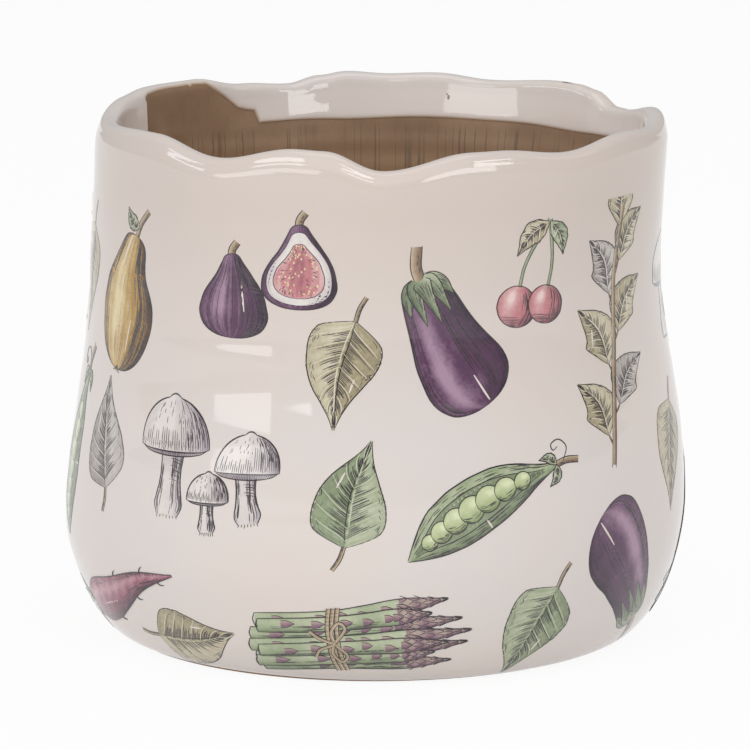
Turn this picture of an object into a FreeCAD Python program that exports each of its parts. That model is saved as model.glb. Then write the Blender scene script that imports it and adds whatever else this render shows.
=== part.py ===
import FreeCAD, Part
import math
import os

# A hand-formed ceramic flower pot in millimetres: a fired clay body, the cream glaze coat that lies over it, and the
# print transfers on the glaze. The pot stands on z = 0 with its axis on +Z and its front to -Y.

# The glazed form
belly_diameter = 160.0
belly_height = 32.3
neck_diameter = 146.2
neck_height = 98.7
mouth_diameter = 146.8
lip_height = 132.9
foot_diameter = 130.0
foot_height = 0.7

# How full the bowl is below the belly, from 1 for a cone to 2 for a round bowl, and how much higher the hand-formed
# belly sits on the right than on the axis
bowl_fullness_share = 1.65
belly_rise = 4.2

# The hand-formed lip: its rise and fall, the ripple that goes with it, and how far the mouth sits off the axis
lip_wave_height = 3.2
lip_ripple = 0.9
mouth_shift = 2.0

# Clay
wall_thickness = 5.0
floor_thickness = 7.0
inner_floor_diameter = 108.0
foot_ring_width = 7.0
foot_recess_depth = 2.5

# Glaze: the thickness of its coat and how far it runs down inside the lip
glaze_thickness = 0.6
glaze_inner_depth = 9.9

# The flaked place inside the lip, where the glaze is off the clay
flake_width = 43.0
flake_height = 10.8

# Print transfers: film thickness, the clearance that keeps a film off the curved glaze, and the gaps that bound the
# printed band of the wall above the foot and below the lip
transfer_thickness = 0.2
transfer_clearance = 0.25
print_foot_gap = 2.5
print_lip_gap = 14.2

# The nominal length of a motif, as a share of the belly's diameter and at most of the printed band's height
print_girth_share = 0.25
print_band_share = 0.3465

# One overrun serves all cuts
overrun = 2.0

# Crests and dips of the lip as (degrees from the front, share of the wave height); positive degrees are to the right
lip_wave_shares = [
    (-172, 0.62), (-166, 0.32), (-159, -0.28), (-148, 0.0), (-134, 0.86), (-117, 1.0), (-107, 0.78), (-84, 0.05),
    (-54, 0.50), (-35, -0.62), (-18, 0.42), (-12, 0.34), (0, -1.08), (18, 0.13), (24, 0.14), (40, -0.41), (58, 0.30),
    (74, 0.05), (94, 0.45), (119, -0.76), (121, -0.76), (127, 0.34), (132, 0.62), (137, 0.66), (156, 0.18),
    (168, 0.56), (179, 0.40),
]

# Outline of the flaked place as (share of its width, share of its height), from its middle at the glaze line
flake_outline_shares = [
    (0.50, -0.10), (0.50, 0.62), (0.47, 0.86), (0.20, 1.0), (0.0, 0.98), (-0.12, 0.76), (-0.32, 0.34),
    (-0.44, 0.22), (-0.50, -0.10),
]
flake_angle = -132

# Transfer films as (head, tail, spread): two round ends and the distance between them, as shares of the print size
film_shares = {
    "pear": (0.32, 0.17, 0.55),
    "aubergine": (0.29, 0.18, 0.66),
    "fig": (0.32, 0.30, 0.40),
    "mushroom": (0.46, 0.38, 0.28),
    "asparagus": (0.33, 0.28, 0.86),
    "pea_pod": (0.20, 0.18, 0.90),
    "carrot": (0.27, 0.10, 1.15),
    "sprig": (0.36, 0.26, 1.15),
    "leaf": (0.24, 0.11, 0.48),
    "cherry": (0.24, 0.13, 0.40),
}

# Where each transfer lies: degrees from the front, share of the print band's height, and the tilt of its tail from up
print_layout_shares = [
    ("print_pear_front", "pear", -57, 0.83, 12),
    ("print_fig_front", "fig", -22, 0.86, 66),
    ("print_aubergine_front", "aubergine", 12.5, 0.77, -28),
    ("print_sprig_front", "sprig", 53, 0.71, 6),
    ("print_mushroom_front", "mushroom", -33, 0.45, 90),
    ("print_leaf_front", "leaf", -4, 0.36, 195),
    ("print_pea_pod_front", "pea_pod", 22, 0.38, 66),
    ("print_carrot_front", "carrot", -57, 0.13, 68),
    ("print_asparagus_front", "asparagus", -2, 0.09, 84),
    ("print_aubergine_right", "aubergine", 56, 0.14, 142),
    ("print_pea_pod_left", "pea_pod", -77, 0.41, 8),
    ("print_mushroom_right", "mushroom", 90, 0.75, 90),
    ("print_carrot_right", "carrot", 92, 0.30, 32),
    ("print_fig_right", "fig", 124, 0.13, 70),
    ("print_pear_back", "pear", 129, 0.56, -24),
    ("print_sprig_back", "sprig", 164, 0.67, -10),
    ("print_asparagus_back", "asparagus", 176, 0.12, 96),
    ("print_aubergine_back", "aubergine", 200, 0.47, 24),
    ("print_fig_left", "fig", 212, 0.83, 60),
    ("print_mushroom_back", "mushroom", 231, 0.20, 90),
    ("print_leaf_left", "leaf", 234, 0.55, -30),
    ("print_carrot_left", "carrot", 263, 0.73, 14),
    ("print_leaf_upper_left", "leaf", -79, 0.84, 8),
    ("print_leaf_middle", "leaf", -5, 0.71, 12),
    ("print_leaf_low_right", "leaf", 33, 0.12, 20),
    ("print_leaf_low_left", "leaf", -42, 0.055, -100),
    ("print_leaf_side_left", "leaf", -60, 0.42, 172),
    ("print_leaf_side_right", "leaf", 73, 0.46, 14),
    ("print_leaf_back_right", "leaf", 113, 0.47, 14),
    ("print_leaf_back_top", "leaf", 188, 0.82, 12),
    ("print_cherry_front", "cherry", 33, 0.885, 10),
    ("print_cherry_back", "cherry", 125, 0.885, -12),
    ("print_cherry_left", "cherry", 239, 0.87, 8),
    ("print_pear_left", "pear", 261, 0.20, -30),
]

# How finely the smooth surfaces are drawn: columns round the pot, and stations along its profile
columns = 60
bowl_steps = (18, 38, 62, 90)
neck_step_shares = (0.25, 0.50, 0.75, 1.0)
lip_steps = (0, 45, 90, 135, 180)

# Sizes that follow from the ones above
belly_radius = belly_diameter / 2
neck_radius = neck_diameter / 2
mouth_radius = mouth_diameter / 2
foot_radius = foot_diameter / 2
inner_floor_radius = inner_floor_diameter / 2
coated_wall = wall_thickness + 2 * glaze_thickness
lip_radius = coated_wall / 2
lip_middle_radius = mouth_radius - lip_radius
lip_middle_height = lip_height - lip_radius
glaze_line = lip_height - glaze_inner_depth
print_band_low = foot_height + print_foot_gap
print_band_high = lip_height - print_lip_gap
print_size = min(print_girth_share * belly_diameter, print_band_share * (print_band_high - print_band_low))
floor_height = floor_thickness + glaze_thickness


def eased(share):
    """A share from 0 to 1, eased at both ends."""
    return (1 - math.cos(math.pi * share)) / 2


def bowl(start_radius, start_height, end_radius):
    """Stations (radius, height) of the bowl from its start up to the belly's height."""
    stations = []
    for step in bowl_steps:
        turn = math.radians(step)
        out_share = math.sin(turn) ** (2 / bowl_fullness_share)
        down_share = max(math.cos(turn), 0) ** (2 / bowl_fullness_share)
        radius = start_radius + (end_radius - start_radius) * out_share
        stations.append((radius, belly_height - (belly_height - start_height) * down_share))
    return stations


def neck(outward_by):
    """Stations from above the belly to the neck, eased between the two radii, and one half way up to the lip."""
    stations = []
    for share in neck_step_shares:
        radius = belly_radius + (neck_radius - belly_radius) * eased(share)
        stations.append((radius + outward_by, belly_height + (neck_height - belly_height) * share))
    stations.append(((neck_radius + mouth_radius) / 2 + outward_by, (neck_height + lip_middle_height) / 2))
    return stations


def outside_profile():
    """Stations of the glazed outside: foot, bowl and neck."""
    foot = [(foot_radius, 0), (foot_radius, foot_height)]
    return foot + bowl(foot_radius, foot_height, belly_radius) + neck(0)


def glazed_profile():
    """Stations of the glazed form, from under the foot, up and over the lip, to the floor inside."""
    lip = []
    for step in lip_steps:
        turn = math.radians(step)
        lip.append((lip_middle_radius + lip_radius * math.cos(turn), lip_middle_height + lip_radius * math.sin(turn)))
    inside = list(reversed(bowl(inner_floor_radius, floor_height, belly_radius - coated_wall) + neck(-coated_wall)))
    floor = [(inner_floor_radius, floor_height), (inner_floor_radius - foot_ring_width, floor_height)]
    return outside_profile() + lip + inside + floor


# Stations that bound the coat: where the bowl starts, the crest of the lip, and the neck inside it
bowl_start = 1
lip_crest = len(outside_profile()) + len(lip_steps) // 2
inside_neck = len(outside_profile()) + len(lip_steps) + 1


def inset_profile(inset):
    """Stations (radius, height, lip share, belly share) of the glazed form, each moved into the wall by the inset.

    The lip share is how much of the lip's unevenness a station carries: none at the neck, all at the lip. The belly
    share is how much of the belly's rise it carries: none at the floor and the neck, all half way between them.
    """
    stations = glazed_profile()
    last = len(stations) - 1
    moved = []
    for index, (radius, height) in enumerate(stations):
        before, after = stations[max(index - 1, 0)], stations[min(index + 1, last)]
        run, rise = after[0] - before[0], after[1] - before[1]
        step = inset / math.hypot(run, rise)
        lip_share = min(1, max(0, (height - neck_height) / (lip_height - neck_height)))
        climb_share = min(1, max(0, (height - floor_height) / (neck_height - floor_height)))
        belly_share = math.sin(math.pi * climb_share) ** 2
        moved.append((radius - rise * step, height + run * step, lip_share, belly_share))
    return moved


def lip_wave(degrees):
    """Share of the wave height at an angle: eased from each crest or dip of the lip to the next."""
    first_angle, first_share = lip_wave_shares[0]
    marks = lip_wave_shares + [(first_angle + 360, first_share)]
    angle = (degrees - first_angle) % 360 + first_angle
    for (start, low), (end, high) in zip(marks, marks[1:]):
        if angle <= end:
            return low + (high - low) * eased((angle - start) / (end - start))


def ring(radius, height, lip_share, belly_share, seam, level=False):
    """Points round the pot at one station, from the seam's angle on, with its shares of the lip's and belly's form."""
    points = []
    for column in range(columns):
        degrees = seam + 360 * column / columns
        turn = math.radians(degrees)
        wave = lip_wave(degrees)
        reach = radius - lip_ripple * lip_share * wave
        lift = 0 if level else lip_wave_height * lip_share**2 * wave
        lift += belly_rise * belly_share * math.sin(turn)
        across = mouth_shift * lip_share + reach * math.sin(turn)
        points.append(FreeCAD.Vector(across, -reach * math.cos(turn), height + lift))
    return points


def places_along(stations):
    """Surface parameters of the stations, spaced by the square roots of their distances."""
    places = [0]
    for start, end in zip(stations, stations[1:]):
        places.append(places[-1] + math.sqrt(math.dist(start[:2], end[:2])))
    return places


def smooth_surface(rings, places):
    """One smooth surface through the rings, closed round the pot."""
    profiles = []
    for points in zip(*rings):
        profile = Part.BSplineCurve()
        profile.interpolate(Points=list(points), Parameters=places)
        profiles.append(profile)
    turns = [column / columns for column in range(columns + 1)]
    rounds = []
    for poles in zip(*[profile.getPoles() for profile in profiles]):
        curve = Part.BSplineCurve()
        curve.interpolate(Points=list(poles), PeriodicFlag=True, Parameters=turns)
        rounds.append(curve)
    surface = Part.BSplineSurface()
    surface.buildFromPolesMultsKnots(
        list(zip(*[curve.getPoles() for curve in rounds])),
        rounds[0].getMultiplicities(), profiles[0].getMultiplicities(),
        rounds[0].getKnots(), profiles[0].getKnots(),
        True, False, rounds[0].Degree, profiles[0].Degree,
    )
    return surface


def pot_surface(inset, seam=0):
    """The whole pot's surface, set into the glazed wall by the inset, and its parameters at the stations."""
    places = places_along(glazed_profile())
    return smooth_surface([ring(*station, seam) for station in inset_profile(inset)], places), places


def closed_solid(faces):
    """The solid inside a closed set of faces."""
    shell = Part.makeShell(faces)
    shell.sewShape()
    return Part.makeSolid(shell)


def capped(surface):
    """The solid inside a surface round the pot, with a flat face on each of its two ends."""
    side = surface.toShape()
    return closed_solid([side] + [Part.Face(Part.Wire(edge)) for edge in side.Edges if edge.isClosed()])


def outward(degrees, tilt=0):
    """Unit vector that points away from the axis at an angle round the pot, tipped up by the tilt."""
    turn, tip = math.radians(degrees), math.radians(tilt)
    return FreeCAD.Vector(math.sin(turn) * math.cos(tip), -math.cos(turn) * math.cos(tip), math.sin(tip))


def facing(origin, degrees, tilt=0):
    """Placement at the origin whose x runs to the right, whose y runs up and whose z points out of the wall."""
    out, right = outward(degrees, tilt), outward(degrees + 90)
    return FreeCAD.Placement(origin, FreeCAD.Rotation(right, out.cross(right), out, "ZXY"))


def make_clay_body():
    """The fired clay: wall, lip, floor, and a foot ring round a shallow recess."""
    surface, places = pot_surface(glaze_thickness)
    recess_radius = foot_radius - glaze_thickness - foot_ring_width
    recess = Part.makeCone(recess_radius, recess_radius - foot_recess_depth, foot_recess_depth)
    return capped(surface).cut(recess)


def make_core():
    """What lies inside the middle of the wall, from the table to above the lip."""
    stations = inset_profile(coated_wall / 2)[:len(outside_profile())]
    top = lip_height + lip_wave_height + overrun
    stations += [(lip_middle_radius, lip_height, 1, 0), (lip_middle_radius, top, 1, 0)]
    rings = [ring(*station, 0, level=True) for station in stations]
    return capped(smooth_surface(rings, places_along(stations)))


def make_cream_glaze():
    """The glaze coat: over the bowl, the neck and the lip, down to a line inside it, and off the flaked place."""
    outer, places = pot_surface(0)
    inner, places = pot_surface(glaze_thickness)
    start, crest, end = places[bowl_start], places[lip_crest], places[inside_neck]
    faces = []
    for surface in (outer, inner):
        faces += [surface.toShape(0, 1, start, crest), surface.toShape(0, 1, crest, end)]
    for place in (start, end):
        faces.append(Part.makeRuledSurface(outer.vIso(place).toShape(), inner.vIso(place).toShape()))
    core = make_core()
    below_line = Part.makeCylinder(belly_diameter, glaze_line)
    outline = [FreeCAD.Vector(across * flake_width, up * flake_height, 0) for across, up in flake_outline_shares]
    flake = Part.Face(Part.makePolygon(outline + outline[:1]))
    flake.Placement = facing(FreeCAD.Vector(0, 0, glaze_line), flake_angle)
    flake = flake.extrude(outward(flake_angle) * belly_diameter)
    return closed_solid(faces).cut([core.common(below_line), core.common(flake)])


def film_outline(head, tail, spread):
    """Face of a transfer film: a round head below, a round tail above, and the two straight sides that touch both."""
    lean = math.asin((head - tail) / spread)
    low, high = FreeCAD.Vector(0, -spread / 2, 0), FreeCAD.Vector(0, spread / 2, 0)
    up = FreeCAD.Vector(0, 1, 0)
    right = FreeCAD.Vector(math.cos(lean), math.sin(lean), 0)
    left = FreeCAD.Vector(-right.x, right.y, 0)
    edges = [
        Part.Arc(low + left * head, low - up * head, low + right * head),
        Part.LineSegment(low + right * head, high + right * tail),
        Part.Arc(high + right * tail, high + up * tail, high + left * tail),
        Part.LineSegment(high + left * tail, low + left * head),
    ]
    return Part.Face(Part.Wire([edge.toShape() for edge in edges]))


def wall_at(height):
    """Glazed radius at a height, the tilt in degrees of the wall's outward normal, and the station below."""
    stations = glazed_profile()[:len(outside_profile()) + 1]
    for index in range(bowl_start, len(stations) - 1):
        (low_radius, low), (high_radius, high) = stations[index:index + 2]
        if height <= high:
            break
    share = (height - low) / (high - low)
    tilt = math.degrees(math.atan2(low_radius - high_radius, high - low))
    return low_radius + (high_radius - low_radius) * share, tilt, index


def make_transfer(kind, degrees, height_share, tail_tilt):
    """One print transfer: a patch of film on the glaze, cut to its outline along the wall's normal."""
    head, tail, spread = [share * print_size for share in film_shares[kind]]
    height = print_band_low + (print_band_high - print_band_low) * height_share
    radius, tilt, station = wall_at(height)
    reach = (head + spread + tail) / 2 + overrun
    seam = round(columns * (degrees - 180) / 360) * 360 / columns
    middle, half_turn = (degrees - seam) / 360, reach / foot_radius / (2 * math.pi)
    span = reach + belly_rise
    lowest, highest = wall_at(height - span)[2], wall_at(height + span)[2] + 1
    sheets = []
    for inset in (-transfer_clearance, -transfer_clearance - transfer_thickness):
        surface, places = pot_surface(inset, seam)
        surface.segment(middle - half_turn, middle + half_turn, places[lowest], places[highest])
        sheets.append(surface.toShape())
    sides = [Part.makeRuledSurface(*pair) for pair in zip(sheets[0].Edges, sheets[1].Edges)]
    outline = film_outline(head, tail, spread)
    outline.rotate(FreeCAD.Vector(0, 0, 0), FreeCAD.Vector(0, 0, 1), -tail_tilt)
    normal = outward(degrees, tilt)
    origin = outward(degrees) * radius + FreeCAD.Vector(0, 0, height)
    outline.Placement = facing(origin - normal * reach, degrees, tilt).multiply(outline.Placement)
    return closed_solid(sheets + sides).common(outline.extrude(normal * 2 * reach))


def main():
    parts = {"clay_body": make_clay_body(), "cream_glaze": make_cream_glaze()}
    for name, kind, degrees, height_share, tail_tilt in print_layout_shares:
        parts[name] = make_transfer(kind, degrees, height_share, tail_tilt)
    os.makedirs("parts", exist_ok=True)
    for name, shape in parts.items():
        shape.exportStep(f"parts/{name}.step")
        print(name, len(shape.Solids), shape.isValid(), round(shape.Volume, 2))


main()
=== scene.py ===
import math
import random

import bmesh
import bpy
import numpy as np
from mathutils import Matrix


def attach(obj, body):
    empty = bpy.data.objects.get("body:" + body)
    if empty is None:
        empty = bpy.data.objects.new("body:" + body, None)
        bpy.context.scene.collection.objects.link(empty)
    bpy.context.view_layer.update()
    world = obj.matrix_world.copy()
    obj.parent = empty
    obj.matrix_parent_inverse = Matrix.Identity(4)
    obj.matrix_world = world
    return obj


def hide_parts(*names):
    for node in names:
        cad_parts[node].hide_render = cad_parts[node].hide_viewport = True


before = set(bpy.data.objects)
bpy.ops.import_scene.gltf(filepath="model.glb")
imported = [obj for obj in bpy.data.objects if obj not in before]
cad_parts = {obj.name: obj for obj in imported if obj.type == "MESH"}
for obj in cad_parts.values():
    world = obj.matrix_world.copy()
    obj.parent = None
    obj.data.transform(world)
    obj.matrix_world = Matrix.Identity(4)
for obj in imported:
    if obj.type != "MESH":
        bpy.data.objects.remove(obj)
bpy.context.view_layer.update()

# The clay body
# Brown earthenware, formed by hand and fired bare on the inside and under the foot. Wall, lip, floor and foot ring
# are one piece, with faint rings left by the fingers inside.
mm = 0.001  # sizes are in millimetres, and angles in degrees from the front, positive to the right
foot_radius, foot_height = 65.0, 0.7
belly_radius, belly_height = 80.0, 32.3
neck_radius, neck_height = 73.1, 98.7
mouth_radius, lip_height = 73.4, 132.9
glaze_thickness, coated_wall = 0.6, 6.2
floor_height, inner_floor_radius = 7.6, 54.0
bowl_fullness, belly_rise = 1.65, 4.2
lip_radius = coated_wall / 2
lip_wave_height, lip_ripple, mouth_shift = 3.2, 0.9, 2.0
lip_wave_marks = np.array([
    (-172, 0.62), (-166, 0.32), (-159, -0.28), (-148, 0.0), (-134, 0.86), (-117, 1.0), (-107, 0.78), (-84, 0.05),
    (-54, 0.50), (-35, -0.62), (-18, 0.42), (-12, 0.34), (0, -1.08), (18, 0.13), (24, 0.14), (40, -0.41), (58, 0.30),
    (74, 0.05), (94, 0.45), (119, -0.76), (121, -0.76), (127, 0.34), (132, 0.62), (137, 0.66), (156, 0.18),
    (168, 0.56), (179, 0.40), (188, 0.62),
])


def eased(share):
    return (1 - np.cos(np.pi * share)) / 2


def paired(first, second):
    """Two sets of numbers as arrays of one shape."""
    return np.broadcast_arrays(np.asarray(first, float), np.asarray(second, float))


def lip_wave(degrees):
    """Rise of the hand-formed lip at an angle round the pot, as a share of the wave height."""
    angles, shares = lip_wave_marks.T
    angle = (np.asarray(degrees, float) - angles[0]) % 360 + angles[0]
    mark = np.clip(np.searchsorted(angles, angle, "right") - 1, 0, len(angles) - 2)
    part = eased((angle - angles[mark]) / (angles[mark + 1] - angles[mark]))
    return shares[mark] + (shares[mark + 1] - shares[mark]) * part


def wall_side(inward, start_radius, start_height):
    """Radius and height up one side of the wall: bowl, neck and the slight flare to the lip."""
    turn, climb = np.linspace(0, np.pi / 2, 90), np.linspace(0, 1, 90)
    widest, top = belly_radius - inward, lip_height - lip_radius
    bowl = (start_radius + (widest - start_radius) * np.sin(turn) ** (2 / bowl_fullness),
            belly_height - (belly_height - start_height) * np.clip(np.cos(turn), 0, 1) ** (2 / bowl_fullness))
    neck = (widest + (neck_radius - belly_radius) * eased(climb), belly_height + (neck_height - belly_height) * climb)
    flare = (neck_radius - inward + (mouth_radius - neck_radius) * climb**2, neck_height + (top - neck_height) * climb)
    return np.concatenate([bowl, np.array(neck)[:, 1:], np.array(flare)[:, 1:]], axis=1)


lip_turn = np.linspace(0, np.pi, 41)[1:-1]
lip_round = np.array([mouth_radius - lip_radius + lip_radius * np.cos(lip_turn),
                      lip_height - lip_radius + lip_radius * np.sin(lip_turn)])
outside = wall_side(0, foot_radius, foot_height)
inside = wall_side(coated_wall, inner_floor_radius, floor_height)[:, ::-1]
outline = np.concatenate([outside, lip_round, inside], axis=1)
outline_along = np.concatenate([[0], np.cumsum(np.hypot(*np.diff(outline, axis=1)))])
outline_slope = np.gradient(outline, outline_along, axis=1)
outline_slope /= np.hypot(*outline_slope)
crest = outside.shape[1] + len(lip_turn) // 2
lip_crest, wall_end = outline_along[crest], outline_along[-1]


def along_outside(height):
    return np.interp(height, outside[1], outline_along[:outside.shape[1]])


def along_inside(height):
    return np.interp(height, outline[1][crest:][::-1], outline_along[crest:][::-1])


def belly_share(height):
    """How much of the belly's rise to the right a height carries: none at the floor and the neck."""
    return np.sin(np.pi * np.clip((height - floor_height) / (neck_height - floor_height), 0, 1)) ** 2


def lip_share(height):
    """How much of the lip's wave a height carries: none up to the neck, all at the lip."""
    return np.clip((height - neck_height) / (lip_height - neck_height), 0, 1)


def plain_height(height, degrees):
    """Height on the wall before the lip's wave."""
    return height - lip_wave_height * lip_share(height) ** 2 * lip_wave(degrees)


# How much the wall thickens inside, by the distance below the lip's crest
swell_below = np.arange(0, 90, 0.5)
swell_inside = 0.5 * np.cumsum(np.interp(swell_below, [0, 5, 12, 26, 60, 90], [0, 0.17, 0.17, -0.05, -0.05, 0]))
outer_ring_spacing, outer_ring_start, outer_ring_height = 14.2, 68.4, 0.045
dent_along, dent_degrees, dent_depth = 90, -26, 0.075
corner_fullness, shoulder_wear = 0.6, 0.6


def hand_swell(along, degrees):
    """How far the hand-smoothed wall stands out of true, in millimetres. Outside it has faint rings, flatter on the
    right, and a slight dent. Inside it thickens below the lip, most at the back. The lip's inner corner is fuller at
    the back, and its outer shoulder is worn to a soft slope."""
    turn, bearing = np.radians(degrees), degrees % 360
    broad = 0.16 * np.sin(2 * turn + 0.9) + 0.10 * np.sin(3 * turn + along / 31)
    ring_height = outer_ring_height * (1 - 0.5 * np.clip(np.sin(turn) / 0.15, 0, 1))
    rings = ring_height * np.sin(2 * np.pi * (along - outer_ring_start + 1.2 * np.sin(turn * 2)) / outer_ring_spacing)
    ripple = 0.006 * np.sin(along / 0.9 + 3 * turn)
    near_dent = np.exp(-((along - dent_along) / 3.5) ** 2 - ((degrees - dent_degrees) / 25) ** 2)
    dent = -dent_depth * np.sin(2 * np.pi * (along - dent_along) / 12) * near_dent
    corner = corner_fullness * np.exp(-((along - lip_crest - 2.4) / 1.3) ** 2) * (1 - np.cos(turn)) / 2
    shoulder = -shoulder_wear * np.exp(-((along - lip_crest + 3.9) / 1.9) ** 2)
    thick = np.interp(along - lip_crest, swell_below, swell_inside, left=0)
    share = 0.65 + 0.35 * np.exp(-((bearing - 175) / 45) ** 2) + 0.25 * np.exp(-((bearing - 204) / 7) ** 2)
    return broad + (rings + ripple) + dent + corner + shoulder + thick * share


def wall_point(along, degrees, lift=0.0):
    """Point in metres at a distance along the glazed wall from the foot, at an angle and a lift above the glaze."""
    along, degrees = paired(along, degrees)
    radius, height = [np.interp(along, outline_along, values) for values in outline]
    run, rise = [np.interp(along, outline_along, values) for values in outline_slope]
    share = lip_share(height)
    wave, turn = lip_wave(degrees), np.radians(degrees)
    out = lift + hand_swell(along, degrees)
    reach = radius + out * rise - lip_ripple * share * wave
    level = height - out * run + lip_wave_height * share**2 * wave + belly_rise * belly_share(height) * np.sin(turn)
    return np.stack([mouth_shift * share + reach * np.sin(turn), -reach * np.cos(turn), level], axis=-1) * mm


def placed(name, data):
    """A new object in the scene."""
    thing = bpy.data.objects.new(name, data)
    bpy.context.collection.objects.link(thing)
    return thing


def pot_piece(name, points, loop):
    """A mesh round the pot from rows of points. A loop of rows is a coat; without it the first and last row are
    capped."""
    rows, columns = points.shape[:2]
    index = np.arange(rows * columns).reshape(rows, columns)
    below, above = (index, np.roll(index, -1, axis=0)) if loop else (index[:-1], index[1:])
    quads = np.stack([below, np.roll(below, -1, axis=1), np.roll(above, -1, axis=1), above], axis=-1)
    faces = quads.reshape(-1, 4).tolist()
    if not loop:
        faces += [index[0][::-1].tolist(), index[-1].tolist()]
    mesh = bpy.data.meshes.new(name)
    mesh.from_pydata(points.reshape(-1, 3).tolist(), [], faces)
    mesh.shade_smooth()
    return placed(name, mesh)


def linear(code):
    """Linear colour of an sRGB hex value."""
    values = [int(code[place:place + 2], 16) / 255 for place in (1, 3, 5)]
    return [value / 12.92 if value <= 0.04045 else ((value + 0.055) / 1.055) ** 2.4 for value in values] + [1]


def add(tree, kind, settings, links=None):
    """Adds a node with its settings and the links into it."""
    node = tree.nodes.new(kind)
    for key, value in settings.items():
        if isinstance(key, str) and hasattr(node, key):
            setattr(node, key, value)
        else:
            node.inputs[key].default_value = value
    for key, socket in (links or {}).items():
        tree.links.new(socket, node.inputs[key])
    return node


def noise(tree, here, size, detail, **settings):
    """Noise with a grain of a size in millimetres."""
    settings = {"Scale": 1 / (size * mm), "Detail": detail, **settings}
    return add(tree, "ShaderNodeTexNoise", settings, here).outputs["Fac"]


def ranged(tree, value, low, high, first, last):
    """Maps values from low to high onto first to last."""
    limits = {"From Min": low, "From Max": high, "To Min": first, "To Max": last}
    return add(tree, "ShaderNodeMapRange", limits, {"Value": value}).outputs[0]


def graded(tree, value, *stops):
    """Colours a value by a ramp's places and hex values."""
    node = add(tree, "ShaderNodeValToRGB", {}, {"Fac": value})
    elements = node.color_ramp.elements
    elements.remove(elements[1])
    for place, code in stops:
        stop = elements.new(place) if place else elements[0]
        stop.position, stop.color = place, linear(code)
    return node.outputs["Color"]


def tinted(tree, base, code, amount):
    """Mixes an amount of a colour into a base colour."""
    return add(tree, "ShaderNodeMix", {"data_type": "RGBA", "B": linear(code)},
               {"Factor": amount, "A": base}).outputs["Result"]


def roughen(tree, shader, here, size, detail, strength, depth):
    """Gives a shader bumps of a size and depth in millimetres."""
    bump = add(tree, "ShaderNodeBump", {"Strength": strength, "Distance": depth * mm},
               {"Height": noise(tree, here, size, detail)})
    tree.links.new(bump.outputs["Normal"], shader.inputs["Normal"])


def new_material(name, roughness, ior):
    material = bpy.data.materials.new(name)
    material.use_nodes = True
    shader = material.node_tree.nodes["Principled BSDF"]
    shader.inputs["Roughness"].default_value, shader.inputs["IOR"].default_value = roughness, ior
    return material, material.node_tree, shader


# Bare fired earthenware: matt and porous, so brown with lighter and darker clouds, with painted light making it paler
# lower down and deeper inside, thin dark runs down the wall where slip and glaze water ran, and a fine grit.
cloud_size, run_spacing, run_patch, grit_size = 14.0, 4.6, 12.0, 0.7
# Heights of the painted light on the bare clay: full below the first, none above the second
glow_full_height, glow_start_height = 108.0, 119.5
run_end, run_fading, run_full, run_start = 15.0, 35.0, 119.5, 122.5
clay, tree, shader = new_material("bare_fired_earthenware", 0.62, 1.5)
here = {"Vector": add(tree, "ShaderNodeTexCoord", {}).outputs["Object"]}
level = add(tree, "ShaderNodeSeparateXYZ", {}, here).outputs["Z"]
clouds = noise(tree, here, cloud_size, 6.0, Roughness=0.6)
tones = graded(tree, clouds, (0.0, "#7d624a"), (0.38, "#8a6d54"), (0.66, "#997d62"))
# Painted light: the clay is mixed towards a paler brown lower down, standing in for light glowing off the inside
painted_glow = ranged(tree, level, glow_full_height * mm, glow_start_height * mm, 0.8, 0.0)
painted_glow_clay = tinted(tree, tones, "#b08f70", painted_glow)
upright = add(tree, "ShaderNodeMapping", {"Scale": (1, 1, 0)}, here)
upright = add(tree, "ShaderNodeVectorMath", {"operation": "NORMALIZE"}, {0: upright.outputs[0]})
runs = add(tree, "ShaderNodeTexNoise",
           {"Scale": mouth_radius / run_spacing, "Detail": 1.5, "Roughness": 0.5, "Distortion": 0.10},
           {"Vector": upright.outputs[0]})
line = add(tree, "ShaderNodeMath", {"operation": "SUBTRACT", 1: 0.5}, {0: runs.outputs["Fac"]})
line = add(tree, "ShaderNodeMath", {"operation": "ABSOLUTE"}, {0: line.outputs[0]})
line = ranged(tree, line.outputs[0], 0.004, 0.024, 0.62, 0.0)
patchy = ranged(tree, noise(tree, here, run_patch, 1.0), 0.28, 0.52, 0.0, 1.0)
below_line = ranged(tree, level, run_full * mm, run_start * mm, 1.0, 0.0)
above_floor = ranged(tree, level, run_end * mm, run_fading * mm, 0.0, 1.0)
for limit in (patchy, below_line, above_floor):
    line = add(tree, "ShaderNodeMath", {"operation": "MULTIPLY"}, {0: line, 1: limit}).outputs[0]
tree.links.new(tinted(tree, painted_glow_clay, "#5d4c3f", line), shader.inputs["Base Color"])
roughen(tree, shader, here, grit_size, 3.0, 0.35, 0.15)

# Radius and height of the rings under the foot: the recess, its sloping side and the flat ring that the pot stands on
foot_rings = [(0.6, 2.5), (52.0, 2.5), (54.2, 2.4), (56.9, 0.3), (57.6, 0.0), (63.6, 0.0), (64.2, 0.2), (64.4, 0.6)]
ring_spacing, ring_depth, ring_fade, floor_fade, bare_clay_top = 6.5, 0.12, 4, 10, 122.4
clay_degrees, clay_line = np.arange(0, 360, 1.5), along_inside(bare_clay_top)
rows = []
for radius, height in foot_rings:
    turn = np.radians(clay_degrees)
    rows.append(np.stack([radius * np.sin(turn), -radius * np.cos(turn), np.full(turn.shape, height)], axis=-1) * mm)
for along in np.concatenate([np.linspace(1, lip_crest, 70), np.linspace(lip_crest, wall_end, 220)[1:]]):
    rings = ring_depth * np.sin(2 * np.pi * along / ring_spacing) * np.clip((along - clay_line) / ring_fade, 0, 1)
    rings = rings * np.clip((wall_end - along) / floor_fade, 0, 1)
    rows.append(wall_point(along, clay_degrees, rings - glaze_thickness))
for shrink in (0.5, 0.02):
    rows.append(rows[-1] * [shrink, shrink, 1])
clay_pot = pot_piece("clay_pot", np.array(rows), loop=False)
clay_pot.data.materials.append(clay)
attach(clay_pot, "root")
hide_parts("clay_body")

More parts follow.
